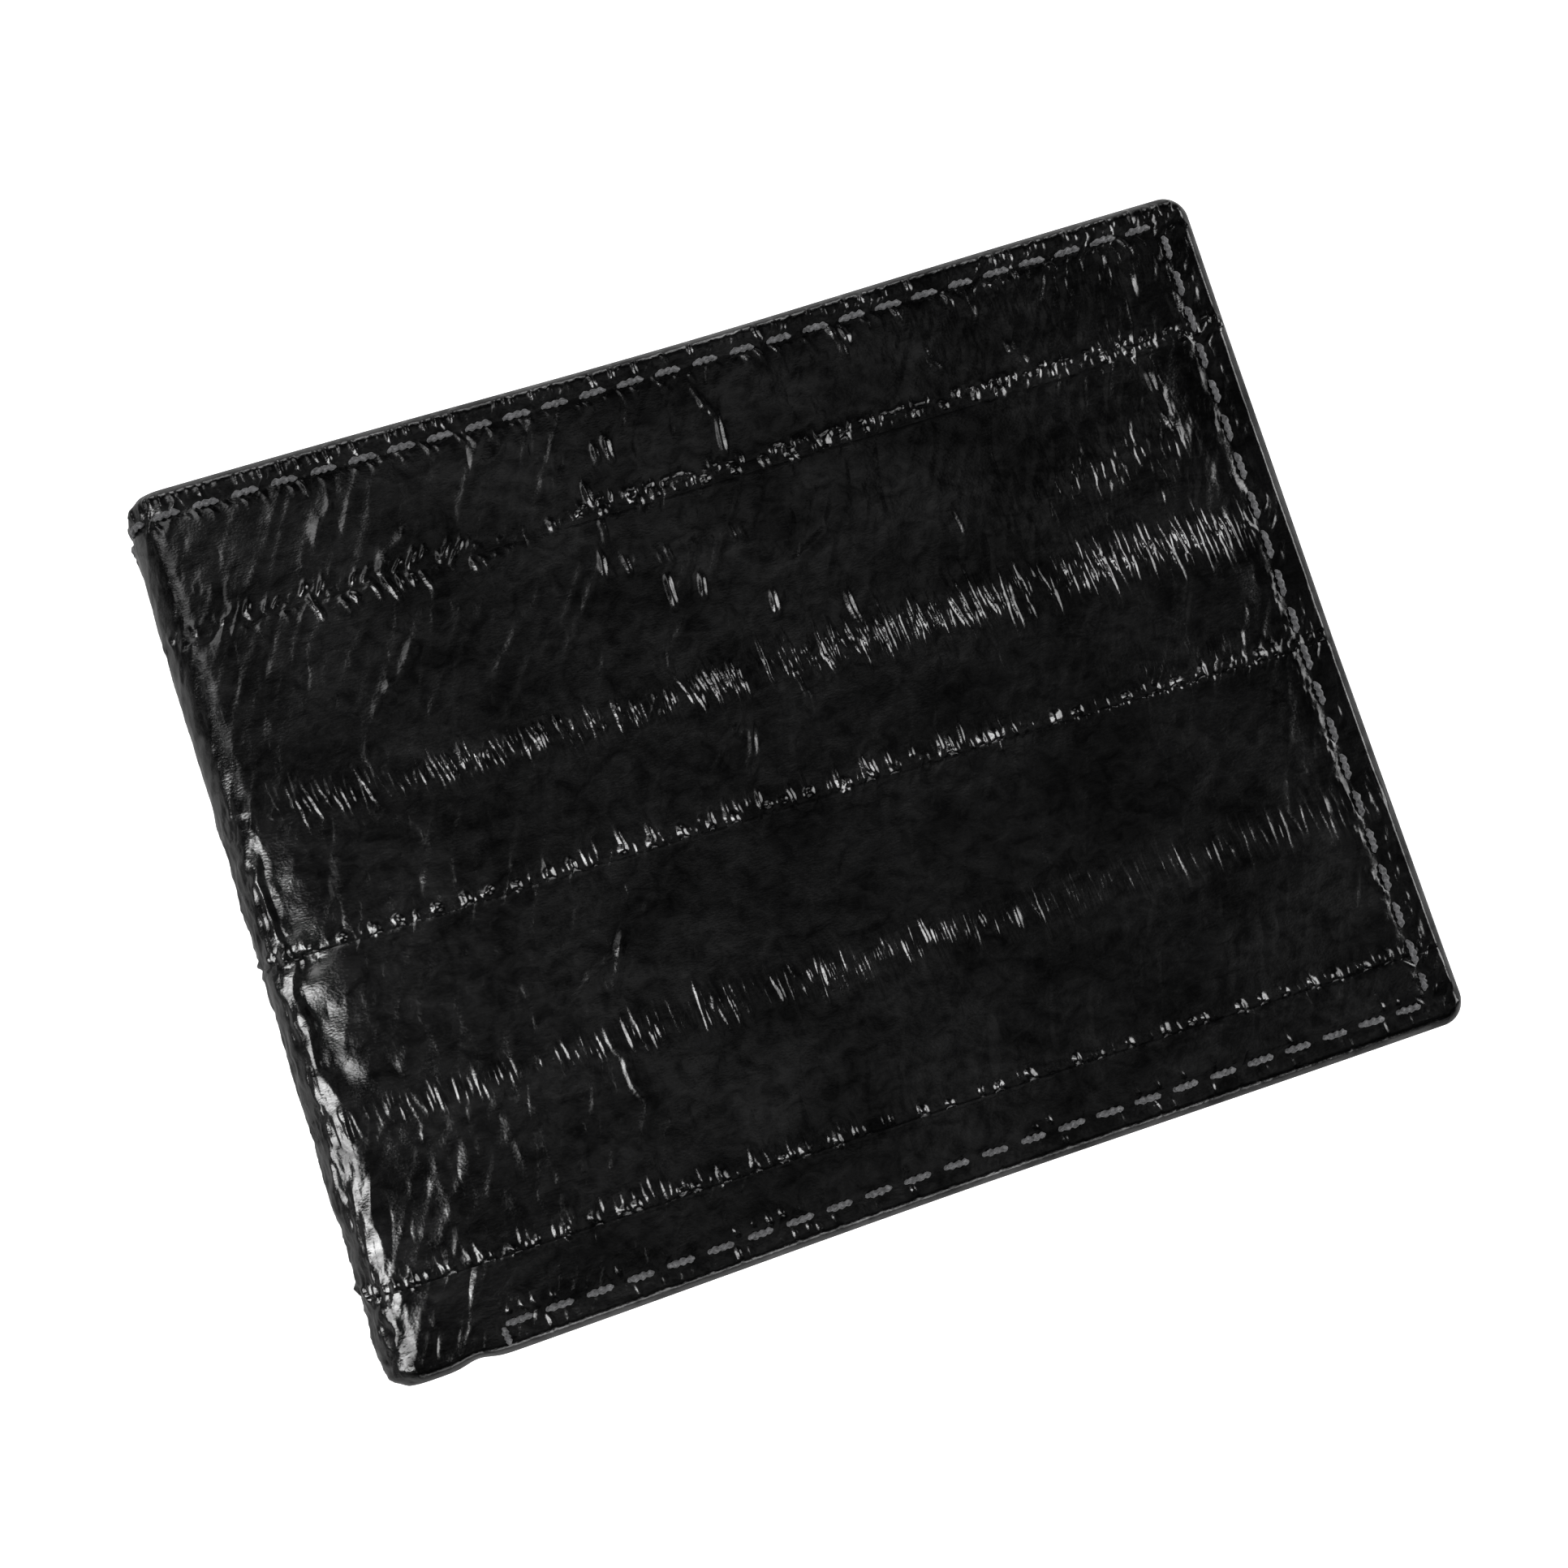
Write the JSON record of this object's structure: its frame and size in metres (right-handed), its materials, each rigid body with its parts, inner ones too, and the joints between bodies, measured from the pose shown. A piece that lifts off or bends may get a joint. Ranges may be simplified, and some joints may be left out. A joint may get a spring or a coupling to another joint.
{
  "type": "bifold wallet",
  "caption": "Bifold wallet in glossy ribbed eel-skin strips, with a full-width banknote compartment, stepped card slots and a window pocket, folding flat along a rounded spine.",
  "frame": {"origin": "centre of the back cover's outer face, with the wallet closed and lying on that cover (bottom centre of the bounding box)", "axes": "+X from the folded spine to the opening edge, +Y towards the mouth of the banknote compartment, +Z from the back cover up to the front cover"},
  "size_m": [0.112, 0.089, 0.015],
  "materials": {
    "eel_skin": "glazed gloss, fine lengthwise wrinkles",
    "inner_leather": "smooth satin",
    "board": "matte bonded fibre",
    "lining_cloth": "fine woven satin",
    "thread": "waxed twisted thread",
    "clear_sheet": "clear flexible sheet"
  },
  "bodies": {
    "back_half": {"back_skin_strip_1": "eel_skin", "back_skin_strip_2": "eel_skin", "back_skin_strip_3": "eel_skin", "back_skin_strip_4": "eel_skin", "back_interlining": "board", "back_bill_lining": "lining_cloth", "back_inner_panel": "inner_leather", "back_perimeter_stitching": "thread", "back_inner_stitching": "thread", "back_card_pocket_1": "inner_leather", "back_card_pocket_2": "inner_leather", "id_pocket_frame": "inner_leather", "id_window": "clear_sheet"},
    "spine": {"spine_skin_strip_1": "eel_skin", "spine_skin_strip_2": "eel_skin", "spine_skin_strip_3": "eel_skin", "spine_skin_strip_4": "eel_skin", "spine_interlining": "board", "spine_bill_lining": "lining_cloth", "spine_inner_panel": "inner_leather", "spine_stitching": "thread"},
    "front_half": {"front_skin_strip_1": "eel_skin", "front_skin_strip_2": "eel_skin", "front_skin_strip_3": "eel_skin", "front_skin_strip_4": "eel_skin", "front_interlining": "board", "front_bill_lining": "lining_cloth", "front_inner_panel": "inner_leather", "front_perimeter_stitching": "thread", "front_inner_stitching": "thread", "front_card_pocket_1": "inner_leather", "front_card_pocket_2": "inner_leather", "front_card_pocket_3": "inner_leather"}
  },
  "joints": [
    {"name": "spine_fold", "type": "hinge", "parent": "back_half", "child": "spine", "pos_m": [-0.05493, 0, 0.00107], "axis": [0, -1, 0], "range_deg": [0, 90]},
    {"name": "cover_fold", "type": "hinge", "parent": "spine", "child": "front_half", "pos_m": [-0.05493, 0, 0.01393], "axis": [0, -1, 0], "range_deg": [0, 90]}
  ],
  "couplings": [
    {"joint": "cover_fold", "follows": "spine_fold", "ratio": 1}
  ]
}
